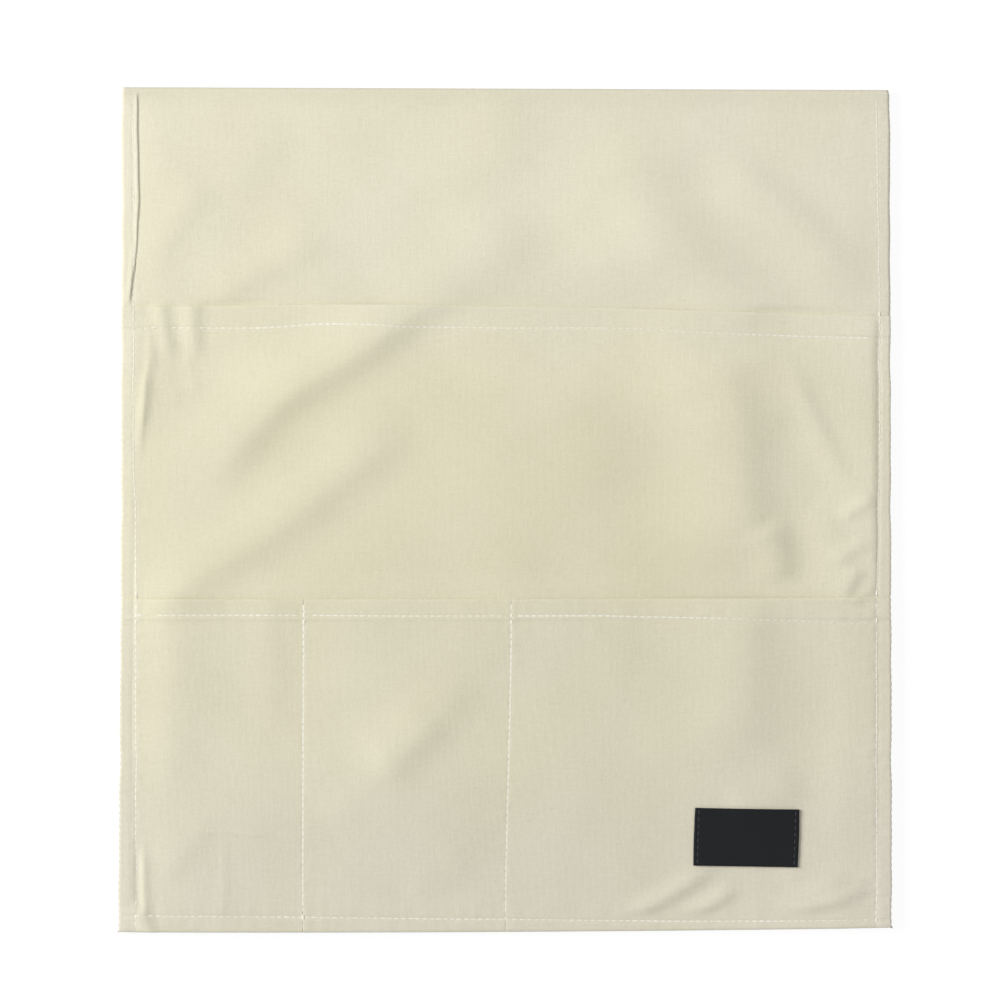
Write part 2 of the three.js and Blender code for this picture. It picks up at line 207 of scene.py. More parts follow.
lowerFolds = [
    ([(-18, -66), (-28, -87), (-40, -101.5), (-49, -110.5), (-60, -118), (-72, -124)], 1.1, 17, 11),
    ([(-30, -91), (-42, -104), (-51, -112), (-62, -119)], 0.55, 14, 9.5),
    ([(-59, -119), (-69, -128), (-76, -138), (-79, -148)], 0.22, 9, 9),
    ([(-152, -20), (-151.5, -80), (-151, -136)], 0.85, 14, 15),
    ([(-108.9, -20), (-107.5, -70), (-107, -108)], 0.35, 9, 7),
    ([(-127.3, -143), (-127.3, -190)], 0.2, 1.4, 1.2),
    ([(-142, -144.4), (-105, -147.8)], 0.15, 1.5, 1.3),
    ([(98, -160), (80, -171.5), (63, -181.5), (48, -190)], 0.9, 5, 3.8),
    ([(107, -170), (93, -179.5), (76, -189.5)], 0.85, 4.6, 3.4),
    ([(168, -170.5), (147, -178.5), (122, -186)], 0.85, 5, 4.2),
    ([(158, -167), (139, -174), (120, -179)], 0.25, 4, 3),
    ([(122, -160), (137, -168), (158, -171)], 0.5, 6, 5),
    ([(106, -26), (108, -76), (104, -124)], 1.6, 24, 17),
    ([(136, -120), (118, -131), (96, -136)], 0.6, 13, 10),
    ([(-163.8, -148), (-163.2, -170), (-161.6, -200)], 0.5, 1.9, 1.7),
    ([(-166.8, -146), (-166.2, -170), (-164.8, -200)], -0.3, 1.5, 1.9),
    ([(163.6, -26), (164, -100), (164, -170)], 0.35, 14, 4.4),
    ([(-131, -136), (-146, -156), (-158, -170)], 0.35, 8, 6),
    ([(-14, -156), (-30, -166), (-48, -172)], 0.35, 10, 8),
]
# The fold over the hem at the lower left corner
cornerFolds = [([(-168, -176), (-163.5, -185), (-155, -199)], 0.8, 4.4, 3.0)]
lightSide = np.array([-0.97, 0.25])  # towards the light, seen from above
foldForm = {"reach": 2.8, "endShare": 0.3, "endRun": 36}  # widths it spreads, and how its ends die away


def smoothPath(path):  # a curve through the points of a fold's crest
    points = np.array(path, float)
    guides = np.vstack([2 * points[0] - points[1], points, 2 * points[-1] - points[-2]])
    curve = []
    for a, b, c, d in zip(guides, guides[1:], guides[2:], guides[3:]):
        for t in (0, 0.25, 0.5, 0.75):
            bend = (c - a) * t + (2 * a - 5 * b + 4 * c - d) * t ** 2 + (3 * b - a - 3 * c + d) * t ** 3
            curve.append(b + bend / 2)
    return np.array(curve + [points[-1]])


def foldHeight(x, y, folds):
    total = np.zeros_like(x)
    for path, height, lit, shaded in folds:
        points = smoothPath(path)
        reach = foldForm["reach"] * max(lit, shaded)
        low, high = points.min(0) - reach, points.max(0) + reach
        close = (x > low[0]) & (x < high[0]) & (y > low[1]) & (y < high[1])
        px, py = x[close], y[close]
        steps = np.hypot(*(points[1:] - points[:-1]).T)
        runs = np.concatenate([[0], np.cumsum(steps)]) / steps.sum()
        chord = points[-1] - points[0]
        # which side of the crest faces the light
        litTurn = np.sign(chord[0] * lightSide[1] - chord[1] * lightSide[0])
        nearest, share, side = np.full(px.shape, 1e9), np.zeros_like(px), np.zeros_like(px)
        for k, step in enumerate(steps):
            d = (points[k + 1] - points[k]) / step
            rx, ry = px - points[k][0], py - points[k][1]
            t = np.clip((rx * d[0] + ry * d[1]) / step, 0, 1)
            away = np.hypot(rx - t * step * d[0], ry - t * step * d[1])
            here = away < nearest
            nearest = np.where(here, away, nearest)
            share = np.where(here, runs[k] + t * (runs[k + 1] - runs[k]), share)
            side = np.where(here, litTurn * (d[0] * ry - d[1] * rx), side)
        width = np.where(side > 0, lit, shaded)
        ends = min(foldForm["endShare"], foldForm["endRun"] / steps.sum())
        crest = height * rise(0, ends, share) * rise(1, 1 - ends, share)
        total[close] += crest * np.exp(-(nearest / width) ** 2)
    return total


# How a stitch line pulls the cloth in: a shallow groove that dips at each needle hole, and small puckers
pull = {
    "depth": 0.14, "narrow": 0.8, "hole": 0.025,
    "pucker": 0.14, "lengths": (6.35, 7.9, 12.1, 19.0), "fade": 5.0, "clear": 1.4,
}
edgeFall = {"left": 0.34, "right": 0.12, "reach": 5.0}  # the hems round over towards the side edges


def seamPull(across, along, start, seed, depth):
    away = np.abs(across)
    hole = 0.5 + 0.5 * np.cos(2 * math.pi * (along - start) / cloth["pitch"])
    groove = -(pull["depth"] * depth + pull["hole"] * hole) * np.exp(-(away / pull["narrow"]) ** 2)
    ripple = pull["pucker"] * waves(along, seed, pull["lengths"]) * np.exp(-away / pull["fade"])
    return groove + ripple * (1 - np.exp(-(away / pull["clear"]) ** 2))


leftSeamX = -halfWidth + cloth["sideSeam"]
rightSeamX = halfWidth - cloth["sideSeam"]
endSeamY = endY + cloth["endSeam"]
# Where the rows of stitches begin and end
sideStart, sideStop = endY + 2.0, foldAxisY - 0.5
acrossStart, acrossStop = leftSeamX + 1.5, rightSeamX - 1.5


def seamLine(side, y):  # where a side seam really runs
    return (leftSeamX if side == "left" else rightSeamX) + stray(side, y)


def sidePull(side, x, y, seed, depth):
    return seamPull(x - seamLine(side, y), y, sideStart, seed, depth)


def rowPull(row, seamY, x, y, seed, depth):
    return seamPull(y - seamY + stray(row, x), x, acrossStart, seed, depth)


# The tuck beside the left hem, above the wide pocket, where the cloth laps over towards the stitches
tuck = {
    "y": [88, 92.7, 100, 108.6, 122, 140, 165, 192],
    "x": [-171.8, -171.3, -170.3, -169.2, -167.8, -167.0, -167.2, -167.9],
    "drawn": -167.8,  # where the base cloth's fine columns are drawn
    "starts": (-3, 6), "hemSide": 0.26, "hemFrom": (-3.4, -0.6), "drop": 0.3, "wall": 0.36, "reach": 5.0,
}


def tuckLine(y):
    return np.interp(y, tuck["y"], tuck["x"])


def tuckHeight(x, y):
    off = x - tuckLine(y)
    past = rise(-tuck["wall"], tuck["wall"], off)
    hemSide = tuck["hemSide"] * rise(*tuck["hemFrom"], off) * (1 - past)
    sunkIn = -tuck["drop"] * past * np.exp(-np.clip(off, 0, None) / tuck["reach"])
    return rise(*tuck["starts"], y - largeMouthY) * (hemSide + sunkIn)


def sideFall(x):
    fall = np.where(x < 0, edgeFall["left"], edgeFall["right"])
    return -fall * rise(edgeFall["reach"], 0, halfWidth - np.abs(x))


# The wide pocket's cloth stands up along its left seam, under the mouth
ridge = {"height": 0.9, "in": 9.0, "inner": 11, "outer": 9, "top": (-3, -14), "foot": (28, 56)}


def edgeRidge(x, y):
    off = x + halfWidth - ridge["in"]
    crest = ridge["height"] * np.exp(-(off / np.where(off > 0, ridge["inner"], ridge["outer"])) ** 2)
    return crest * rise(*ridge["top"], y - largeMouthY) * rise(*ridge["foot"], y)


pocketForm = {
    "largeLoft": 4.0, "largeCrown": 1.6, "largeFoot": (-2, 72), "smallCrown": 2, "smallFoot": (-2, 54),
    "mouthHem": 9.4, "mouthSeam": 8.2, "hemStack": 0.95, "hemStarts": (-1.0, 0.5), "hemRise": 0.4,
    "soft": 0.35,
    "closed": 0.55, "closing": 42,  # how far and from where a pocket closes towards its mouth
    "lip": 1.1,  # the cloth above a mouth swells to meet it
    "dip": 0.08, "dipIn": 12, "dipTo": (-0.8, 1.4),  # and dips under its hem
}


def inMouthHem(y, mouthY):
    return rise(*pocketForm["hemStarts"], y - mouthY + pocketForm["mouthHem"])


def puffed(crown, foot, y, mouthY):  # how far a pocket stands off what is behind it
    closing = rise(mouthY - pocketForm["closing"], mouthY, y)
    lift = crown * rise(*foot, y - endSeamY) * (1 - pocketForm["closed"] * closing)
    stack = pocketForm["hemRise"] * inMouthHem(y, mouthY)
    soft = pocketForm["soft"]
    # the larger of the two, rounded where they meet
    return 0.5 * (lift + stack + np.sqrt((lift - stack) ** 2 + soft ** 2) - soft)


def largeCrown(x):  # the wide pocket swells slowly from seam to seam
    across = np.clip(x / rightSeamX, -1, 1)
    return 1 - np.abs(across) ** pocketForm["largeCrown"]


def dipDepth(x):
    return pocketForm["dip"] * rise(0, pocketForm["dipIn"], rightSeamX - np.abs(x))


def dipUnder(x, y, mouthY):  # the cloth behind a mouth lies lower from its hem down
    return dipDepth(x) * (1 - rise(*pocketForm["dipTo"], y - mouthY))


def looseness(x, y, folds, seed, form, seamward):  # folds, and the billows of loose cloth, which never sink
    billows = form["billow"] * swells(x, y, seed, form["lengths"]) + form["billow"]
    folded = foldHeight(x, y, folds) * rise(0, form["ease"], seamward)
    return folded + billows * rise(0, form["billowIn"], seamward)


frontForm = {
    "covered": (-34, -4),  # the leaf goes flat under the wide pocket
    "ease": 1.5, "billow": 0.2, "seed": 11, "lengths": (83, 61, 47, 36), "billowIn": 14, "lip": (55, 2),
    "left": (22, 0.8), "right": (21, 0.05),  # seed and depth of each seam's pull
    "turn": 3, "sunk": 0.15,
    "room": 4, "inHem": 0.5, "gap": 0.1,  # the leaf keeps under the wide pocket's hem
}


def frontTop(x, y):
    form = frontForm
    above = y - largeMouthY
    shown = rise(*form["covered"], above)
    relief = looseness(x, y, frontFolds, form["seed"], form, rightSeamX - np.abs(x))
    relief = relief + pocketForm["lip"] * largeCrown(x) * rise(*form["lip"], above)
    seams = sidePull("right", x, y, *form["right"]) + sidePull("left", x, y, *form["left"])
    relief = relief + seams + tuckHeight(x, y) + sideFall(x)
    relief = relief * shown * (1 - rise(foldAxisY - form["turn"], foldAxisY, y))
    leaf = outerZ + relief - form["sunk"] * (1 - shown) - dipUnder(x, y, largeMouthY)
    low = above < form["room"]
    hem = largeTop(x[low], np.minimum(y[low], largeMouthY - form["inHem"]))
    room = hem - pocketForm["hemStack"] - form["gap"]
    leaf[low] -= np.clip(leaf[low] - room, 0, None) * rise(form["room"], 0, above[low])
    return leaf


largeForm = {
    "ease": 1.5, "billow": 0.2, "seed": 12, "lengths": (91, 67, 49, 38), "billowIn": 45, "foot": 20,
    "covered": (-40, -6), "kept": 0.35,  # the relief fades to this share under the small pockets
    "left": (23, 0.02), "end": (25, 0.5), "mouth": (26, 0.6),  # seed and depth of each seam's pull
    "rightSeed": 24, "rightPull": (0.1, 0.8), "bare": (-4, 4), "slack": (84, 92),
    "lip": (14, 1), "lipIn": 20, "lipShare": 0.6,
}


def largeTop(x, y):
    form = largeForm
    seamward = rightSeamX - np.abs(x)
    above = y - lowerMouthY
    puff = puffed(pocketForm["largeLoft"] * largeCrown(x), pocketForm["largeFoot"], y, largeMouthY)
    relief = looseness(x, y, largeFolds, form["seed"], form, seamward)
    fade = form["kept"] + (1 - form["kept"]) * rise(*form["covered"], above)
    relief = relief * fade * rise(0, form["foot"], y - endSeamY)
    bare = rise(*form["bare"], above) * (1 - rise(*form["slack"], y))
    tight = form["rightPull"][0] + form["rightPull"][1] * bare
    seams = sidePull("left", x, y, *form["left"]) + sidePull("right", x, y, form["rightSeed"], tight)
    seams = seams + rowPull("end", endSeamY, x, y, *form["end"])
    hem = rowPull("large", largeMouthY - pocketForm["mouthSeam"], x, y, *form["mouth"])
    lip = pocketForm["lip"] * form["lipShare"] * rise(*form["lip"], above) * rise(0, form["lipIn"], seamward)
    top = outerZ + cloth["layer"] + puff + relief + edgeRidge(x, y) + lip
    return top - dipUnder(x, y, lowerMouthY) + seams + hem + sideFall(x)


smallPockets = {
    "remote": {"left": leftSeamX, "right": leftDividerX, "loft": 0.45, "seed": 31},
    "phone": {"left": leftDividerX, "right": rightDividerX, "loft": 0.55, "seed": 41},
    "tablet": {"left": rightDividerX, "right": rightSeamX, "loft": 1.0, "seed": 51},
}
smallForm = {
    "ease": 1.2, "billow": 0.15, "lengths": (71, 53, 41, 29), "billowIn": 25, "foot": (-1, 6),
    "side": 0.2, "end": 0.4, "mouth": 0.6,  # depth of each seam's pull
}


def smallTop(x, y, pocket):
    form = smallForm
    left, right, seed = pocket["left"], pocket["right"], pocket["seed"]
    middle, half = (left + right) / 2, (right - left) / 2
    across = np.clip((x - middle) / half, -1, 1)
    crown = pocket["loft"] * (1 - np.abs(across) ** pocketForm["smallCrown"])
    puff = puffed(crown, pocketForm["smallFoot"], y, lowerMouthY)
    relief = looseness(x, y, lowerFolds, seed, form, half - np.abs(x - middle))
    relief = relief * rise(*form["foot"], y - endSeamY) + foldHeight(x, y, cornerFolds)
    leftLine = seamLine("left", y) if left == leftSeamX else left
    rightLine = seamLine("right", y) if right == rightSeamX else right
    seams = seamPull(x - leftLine, y, sideStart, seed + 1, form["side"])
    seams = seams + seamPull(x - rightLine, y, sideStart, seed + 2, form["side"])
    seams = seams + rowPull("end", endSeamY, x, y, seed + 3, form["end"])
    hem = rowPull("lower", lowerMouthY - pocketForm["mouthSeam"], x, y, seed + 4, form["mouth"])
    return largeTop(x, y) + dipDepth(x) + cloth["layer"] + puff + relief + seams + hem


def topAt(x, y):  # outer face of whatever cloth lies on top
    small = smallTop(x, y, smallPockets["tablet"])
    small = np.where(x < rightDividerX, smallTop(x, y, smallPockets["phone"]), small)
    small = np.where(x < leftDividerX, smallTop(x, y, smallPockets["remote"]), small)
    return np.where(y < lowerMouthY, small, np.where(y < largeMouthY, largeTop(x, y), frontTop(x, y)))


# Grid lines along one direction, closer together beside each seam: steps widen by growth away from it
def gridLines(start, stop, step, seams=(), growth=0.45, least=0.05):
    values, at = [start], start
    while at < stop - least:
        local = step
        for centre, half, fine in seams:
            local = min(local, max(fine, (abs(at - centre) - half) * growth))
        at += local
        values.append(min(at, stop))
    return values


def turnedHem(width, stack):  # distance in from the edge and depth, from the raw edge out to the face
    tucked = stack * 0.36
    inner = (stack - tucked) * 0.16
    inside = [(2.2, tucked), (width * 0.6, tucked), (width - 0.6, tucked), (width - 0.17, tucked + inner)]
    turn = [(width, (tucked + stack) / 2), (width - 0.17, stack - inner), (width - 0.6, stack)]
    under = [(width * 0.6, stack), (2.4, stack), (0.5, stack)]
    edge = [(0.1, stack * 0.84), (0.0, stack / 2), (0.06, stack * 0.2), (0.3, 0.0)]
    return inside + turn + under + edge


# A pocket's cut edge, turned down round the hem under it
lap = [(0.25, 1.8), (0.0, 1.2), (0.0, 0.6), (0.08, 0.2), (0.32, 0.0)]


def bordered(low, startEdge, face, high, stopEdge):  # grid lines and depths of a face with its turned edges
    places = [low + d for d, _ in startEdge] + face + [high - d for d, _ in reversed(stopEdge)]
    depths = [h for _, h in startEdge] + [0] * len(face) + [h for _, h in reversed(stopEdge)]
    return np.array(places), np.array(depths)


def cornerDepth(hx, hy):  # two turned edges lie over each other at a corner
    return np.maximum(hx, hy) + 0.15 * np.minimum(hx, hy)


def coveredBy(mouthY, y):
    return 1 - rise(mouthY - 2, mouthY + 1, y)


def sideward(x, reach):
    return np.clip((np.abs(x) - halfWidth + reach) / reach, 0, 1)


def endward(y, reach):
    return np.clip((endY + reach - y) / reach, 0, 1)


def drawnIn(x, y, depth, mouthY):  # a mouth hem's turned side is narrower than its face
    turned = np.clip(depth / pocketForm["hemStack"], 0, 1) * inMouthHem(y, mouthY)
    return np.sign(x) * cloth["layer"] * turned * rise(halfWidth - 4, halfWidth - 1.4, np.abs(x))


def lengths(places, depths):  # distance along the cloth, for the weave
    steps = np.hypot(np.diff(places), np.diff(depths))
    return np.concatenate([[0], np.cumsum(steps)])


def placed(name, data):
    piece = bpy.data.objects.new(name, data)
    scene.collection.objects.link(piece)
    return piece


def newPiece(name, bm, material):
    for face in bm.faces:
        face.smooth = True
    mesh = bpy.data.meshes.new(name)
    bm.to_mesh(mesh)
    bm.free()
    mesh.materials.append(material)
    return placed(name, mesh)


def setValues(piece, kind, values):
    layer = piece.data.attributes.new(kind, "FLOAT", "POINT")
    layer.data.foreach_set("value", values.astype(np.float32))


def sewSheet(name, x, y, z, u, v, material, thick, greyAndShade=None):
    rows, cols = x.shape
    bm = bmesh.new()
    bmesh.ops.create_grid(bm, x_segments=cols - 1, y_segments=rows - 1, size=1)
    weave = bm.loops.layers.uv.new("weave")
    spots = []
    for vert in bm.verts:
        c = round((vert.co.x + 1) / 2 * (cols - 1))
        r = round((vert.co.y + 1) / 2 * (rows - 1))
        spots.append((r, c))
    for vert, (r, c) in zip(bm.verts, spots):
        vert.co = (x[r, c] * mm, y[r, c] * mm, z[r, c] * mm)
        for loop in vert.link_loops:
            loop[weave].uv = (u[c] * mm, v[r] * mm)
    piece = newPiece(name, bm, material)
    spots = tuple(np.array(spots).T)  # row and column of each point
    for kind, amount in (greyAndShade or {}).items():
        setValues(piece, kind, amount[spots])
    wall = piece.modifiers.new("wall", "SOLIDIFY")
    wall.thickness = thick * mm
    wall.offset = -1
    print("sheet", name, rows, "by", cols)
    return piece, spots


def bindBlend(piece, weights):  # bakes its placement into the mesh
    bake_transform(piece)


# Materials
def nodesFor(name, inputs):
    material = bpy.data.materials.new(name)
    material.use_nodes = True
    tree = material.node_tree
    shader = tree.nodes["Principled BSDF"]
    for key, value in inputs.items():
        shader.inputs[key].default_value = value
    return material, tree, shader


def addNode(tree, kind, inputs=None, **settings):
    node = tree.nodes.new(kind)
    for key, value in settings.items():
        setattr(node, key, value)
    for key, value in (inputs or {}).items():
        if isinstance(value, bpy.types.NodeSocket):
            tree.links.new(value, node.inputs[key])
        else:
            node.inputs[key].default_value = value
    return node


def math2(tree, operation, a, b=0.0):
    return addNode(tree, "ShaderNodeMath", {0: a, 1: b}, operation=operation).outputs[0]


def vector2(tree, operation, inputs):
    return addNode(tree, "ShaderNodeVectorMath", inputs, operation=operation).outputs[0]


def weighted(tree, parts):  # a sum of tones, each with its share
    total = None
    for tone, share in parts:
        part = math2(tree, "MULTIPLY", tone, share)
        total = part if total is None else math2(tree, "ADD", total, part)
    return total


def ridges(tree, along, spacing):  # rounded yarns side by side
    return math2(tree, "ABSOLUTE", math2(tree, "SINE", math2(tree, "MULTIPLY", along, math.pi / spacing)))


def noise(tree, place, scale, detail):
    return addNode(tree, "ShaderNodeTexNoise", {"Vector": place, "Scale": scale, "Detail": detail})


def stored(tree, name):
    return addNode(tree, "ShaderNodeAttribute", attribute_name=name).outputs["Fac"]


def between(tree, share, first, second):
    return addNode(tree, "ShaderNodeMix", {0: share, 6: first, 7: second}, data_type="RGBA").outputs[2]


def ranged(tree, value, low, high):
    inputs = {"Value": value, "To Min": low, "To Max": high}
    return addNode(tree, "ShaderNodeMapRange", inputs).outputs["Result"]


def toneRamp(tree, tone, colours, stops):
    ramp = addNode(tree, "ShaderNodeValToRGB", {"Fac": tone})
    for stop in stops[1:-1]:
        ramp.color_ramp.elements.new(stop)
    for element, stop, colour in zip(list(ramp.color_ramp.elements), stops, colours):
        element.position = stop
        element.color = colour
    return ramp.outputs["Color"]


def dress(tree, shader, colour, height, bump):
    tree.links.new(colour, shader.inputs["Base Color"])
    relief = addNode(tree, "ShaderNodeBump", {"Height": height, "Strength": bump[0], "Distance": bump[1]})
    tree.links.new(relief.outputs["Normal"], shader.inputs["Normal"])


linenLook = {
    "fresh": ((0.672, 0.632, 0.446, 1), (0.732, 0.692, 0.502, 1), (0.785, 0.748, 0.565, 1)),
    "greyer": ((0.643, 0.603, 0.516, 1), (0.705, 0.665, 0.577, 1), (0.763, 0.726, 0.638, 1)),
    "kept": (1.08, 0.88), "stops": (0.33, 0.48, 0.66), "yarn": 0.00052, "slubLong": 120, "slubFine": 1900,
    "slub": (1.0, 3.0), "slubRough": 0.6,
    "wander": (260.0, 2.0), "wanderBy": 0.0007, "broad": (22.0, 4.0), "fleck": (720.0, 2.0),
    "shares": (0.46, 0.2, 0.22, 0.12), "crossing": 0.5, "roughness": (0.86, 0.98), "bump": (0.4, 0.0003),
    "shader": {"Specular IOR Level": 0.18, "Sheen Weight": 0.10, "Sheen Roughness": 0.5},
}


def makeLinen():
    look = linenLook
    material, tree, shader = nodesFor("linen_weave", look["shader"])
    flat = addNode(tree, "ShaderNodeUVMap", uv_map="weave").outputs["UV"]
    wander = noise(tree, flat, *look["wander"]).outputs["Color"]
    nudge = vector2(tree, "SUBTRACT", {0: wander, 1: (0.5, 0.5, 0.5)})
    nudge = vector2(tree, "SCALE", {0: nudge, "Scale": look["wanderBy"]})
    woven = vector2(tree, "ADD", {0: flat, 1: nudge})
    axes = addNode(tree, "ShaderNodeSeparateXYZ", {0: woven})
    warp = ridges(tree, axes.outputs[0], look["yarn"])
    weft = ridges(tree, axes.outputs[1], look["yarn"])
    crossing = math2(tree, "MULTIPLY", warp, weft)
    slubs = []
    for stretch in ((look["slubFine"], look["slubLong"], 1), (look["slubLong"], look["slubFine"], 1)):
        drawn = addNode(tree, "ShaderNodeMapping", {"Vector": woven, "Scale": stretch})
        streak = noise(tree, drawn.outputs[0], *look["slub"])
        streak.inputs["Roughness"].default_value = look["slubRough"]
        slubs.append(streak.outputs["Fac"])
    streaks = math2(tree, "MULTIPLY", math2(tree, "ADD", slubs[0], slubs[1]), 0.5)
    broad = noise(tree, flat, *look["broad"]).outputs["Fac"]
    fleck = noise(tree, flat, *look["fleck"]).outputs["Fac"]
    tone = weighted(tree, zip((streaks, broad, fleck, crossing), look["shares"]))
    fresh = toneRamp(tree, tone, look["fresh"], look["stops"])
    greyer = toneRamp(tree, tone, look["greyer"], look["stops"])
    colour = between(tree, stored(tree, "greyer"), fresh, greyer)
    # painted light and shade: the linen's colour is scaled from 1.08 down to 0.88 as the painted shade
    # amount goes from 0 to 1
    kept = ranged(tree, stored(tree, "painted_shade"), *look["kept"])
    colour = vector2(tree, "SCALE", {0: colour, "Scale": kept})
    height = math2(tree, "ADD", math2(tree, "MULTIPLY", crossing, look["crossing"]), streaks)
    dress(tree, shader, colour, height, look["bump"])
    tree.links.new(ranged(tree, fleck, *look["roughness"]), shader.inputs["Roughness"])
    return material


threadLook = {
    "cream": (((0.66, 0.63, 0.50, 1), (0.76, 0.73, 0.59, 1)),
              ((0.84, 0.83, 0.75, 1), (0.94, 0.935, 0.88, 1))),
    "black": (((0.004, 0.004, 0.005, 1), (0.010, 0.010, 0.012, 1)),
              ((0.005, 0.005, 0.006, 1), (0.014, 0.014, 0.016, 1))),
    "stops": (0.0, 0.75), "shares": (0.55, 0.45), "fuzz": (900.0, 2.0), "bump": (0.4, 0.0001),
    "turn": {"Rotation": (0, 0, 0.9), "Scale": (3.0, 3.0, 1)}, "twist": {"Scale": 1.2, "Distortion": 0.6},
    "shader": {"Roughness": 0.6, "Sheen Weight": 0.1},
}


def makeThread(name, colours):  # each stitch lies somewhere between the dull and the pale yarn: partly the thread's own tone, partly painted shade
    look = threadLook
    material, tree, shader = nodesFor(name, look["shader"])
    ply = addNode(tree, "ShaderNodeUVMap", uv_map="ply").outputs["UV"]
    turned = addNode(tree, "ShaderNodeMapping", {"Vector": ply, **look["turn"]})
    twist = addNode(tree, "ShaderNodeTexWave", {"Vector": turned.outputs[0], **look["twist"]})
    spots = addNode(tree, "ShaderNodeTexCoord").outputs["Object"]
    fuzz = noise(tree, spots, *look["fuzz"])
    tone = weighted(tree, zip((twist.outputs["Fac"], fuzz.outputs["Fac"]), look["shares"]))
    dull, bleach_and_shade = [toneRamp(tree, tone, pair, look["stops"]) for pair in look[colours]]
    dress(tree, shader, between(tree, stored(tree, "bleach_and_shade"), dull, bleach_and_shade), tone, look["bump"])
    return material


labelLook = {
    "colours": ((0.0050, 0.0056, 0.0068, 1), (0.0125, 0.0138, 0.0162, 1)), "stops": (0.2, 1.0),
    "rib": 0.00042, "float": 0.0009, "lint": (700.0, 3.0), "shares": (0.45, 0.4, 0.15),
    "roughness": (0.62, 0.82), "bump": (0.3, 0.0001), "shader": {"Specular IOR Level": 0.16},
}


def makeSatin():
    look = labelLook
    material, tree, shader = nodesFor("black_satin", look["shader"])
    flat = addNode(tree, "ShaderNodeUVMap", uv_map="weave").outputs["UV"]
    axes = addNode(tree, "ShaderNodeSeparateXYZ", {0: flat})
    ribs = ridges(tree, axes.outputs[1], look["rib"])
    floats = ridges(tree, axes.outputs[0], look["float"])
    lint = noise(tree, flat, *look["lint"]).outputs["Fac"]
    tone = weighted(tree, zip((ribs, lint, floats), look["shares"]))
    dress(tree, shader, toneRamp(tree, tone, look["colours"], look["stops"]), tone, look["bump"])
    tree.links.new(ranged(tree, lint, *look["roughness"]), shader.inputs["Roughness"])
    return material


# How grey each part of the cloth's colour is, and how much painted shade darkens it or painted light
# brightens it, following how the light falls. Each row is an amount and the lines between which it comes in,
# across (x) or along (y) the cloth.
greyAndShadeForm = {
    "upper": (0.6, 0.16), "upperFrom": (48, 104), "lowerFrom": (-20, -62),
    # how much greyer the colour is: more in the upper part, at the bottom and towards the sides, least in
    # the middle
    "middle": [(0.06,), (0.45, ("x", 70, 165)), (0.16, ("x", -90, -165))],
    "lower": [(0.38,), (0.5, ("y", -95, -172)), (0.22, ("x", 70, 165))],
    "patches": 0.12, "seed": 71, "lengths": (120, 80, 55), "greyer": 0.6,
    "edges": [(0.2, ("x", -164, -171)), (0.12, ("x", 164, 171))],
    "painted_shade": [
        # painted shade: a base amount, more towards the open end and at the fold's top edge; the negative
        # rows are painted light towards the right and in strips beside both side seams
        (0.29,), (0.38, ("y", 150, 10)), (0.12, ("y", 10, -60)), (0.21, ("y", foldTop - 12, foldTop - 2)),
        (-0.1, ("x", 30, 160)), (-0.21, ("y", 120, 60), ("x", 30, 160)),
        (-0.2, ("x", -125, -165), ("y", 60, 10), ("y", -95, -45)),
        (-0.24, ("x", 126, 156), ("x", 170.5, 167), ("y", 60, 10), ("y", -190, -110)),
        (-0.7, ("x", halfWidth - 1.6, halfWidth - 0.5)),  # painted light along the right edge, where its rounded rim lies in shade
    ],
}


def summed(x, y, rows):
    total = 0
    for amount, *lines in rows:
        for axis, start, stop in lines:
            amount = amount * rise(start, stop, x if axis == "x" else y)
        total = total + amount
    return total


def greyAndShadeAt(x, y):
    form = greyAndShadeForm
    upper = form["upper"][0] + form["upper"][1] * x / halfWidth
    tone = summed(x, y, form["middle"])
    tone = tone + (upper - tone) * rise(*form["upperFrom"], y)
    tone = tone + (summed(x, y, form["lower"]) - tone) * rise(*form["lowerFrom"], y)
    tone = (tone + form["patches"] * swells(x, y, form["seed"], form["lengths"])) * form["greyer"]
    greyer = np.clip(tone + summed(x, y, form["edges"]), 0, 1)
    return {"greyer": greyer, "painted_shade": np.clip(summed(x, y, form["painted_shade"]), 0, 1)}


linen = makeLinen()
creamThread = makeThread("cream_cotton", "cream")
blackThread = makeThread("black_cotton", "black")
satin = makeSatin()
print("materials made")


# Base cloth: front leaf, round the fold, back leaf, with a turned hem along every edge
baseForm = {
    "across": 2.9, "shown": 1.05, "hidden": 9.0, "under": 9.0, "foldSteps": 10, "edge": 1.5,
    "hiddenTo": -36, "shownFrom": -34.2,  # where the rows grow finer under the wide mouth
    "tuckFine": (2.6, 0.3), "seamFine": (1.9, 0.35), "endFine": (1.5, 1.0),
    "follow": (-170, -165, -140), "followFrom": (-4, 14), "inset": 12, "turnInset": 0.4, "turnLength": 0.6,
    "slack": 0.12, "seed": 14, "lengths": (97, 71, 53), "slackIn": 30, "liftIn": 25,
}


